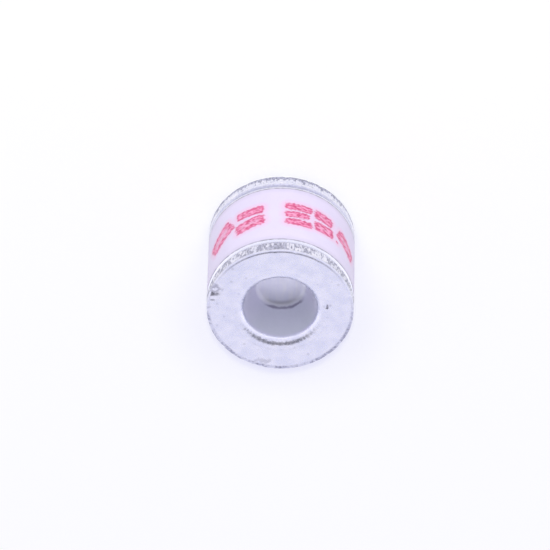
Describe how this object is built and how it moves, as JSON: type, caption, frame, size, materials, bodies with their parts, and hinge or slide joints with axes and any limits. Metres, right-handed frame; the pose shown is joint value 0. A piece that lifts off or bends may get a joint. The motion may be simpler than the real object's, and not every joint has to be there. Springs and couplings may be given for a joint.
{
  "type": "gas discharge tube",
  "caption": "Short leadless ceramic tube with brazed metal end electrodes, each with a tapered recess, that sparks over inside to divert voltage surges.",
  "frame": {"origin": "centre of the lower electrode's outer face, on which the tube stands", "axes": "+Z along the tube's axis from the lower to the upper electrode; the printed side faces -Y"},
  "size_m": [0.008, 0.008, 0.007],
  "materials": {
    "plated_metal": "satin",
    "alumina": "matte",
    "braze_metal": "satin",
    "emitter_compound": "matte",
    "carbon": "matte"
  },
  "bodies": {
    "root": {"ceramic_tube": "alumina", "lower_electrode": "plated_metal", "upper_electrode": "plated_metal", "lower_braze_ring": "braze_metal", "upper_braze_ring": "braze_metal", "lower_emitter_coating": "emitter_compound", "upper_emitter_coating": "emitter_compound", "ignition_stripes": "carbon"}
  },
  "joints": []
}
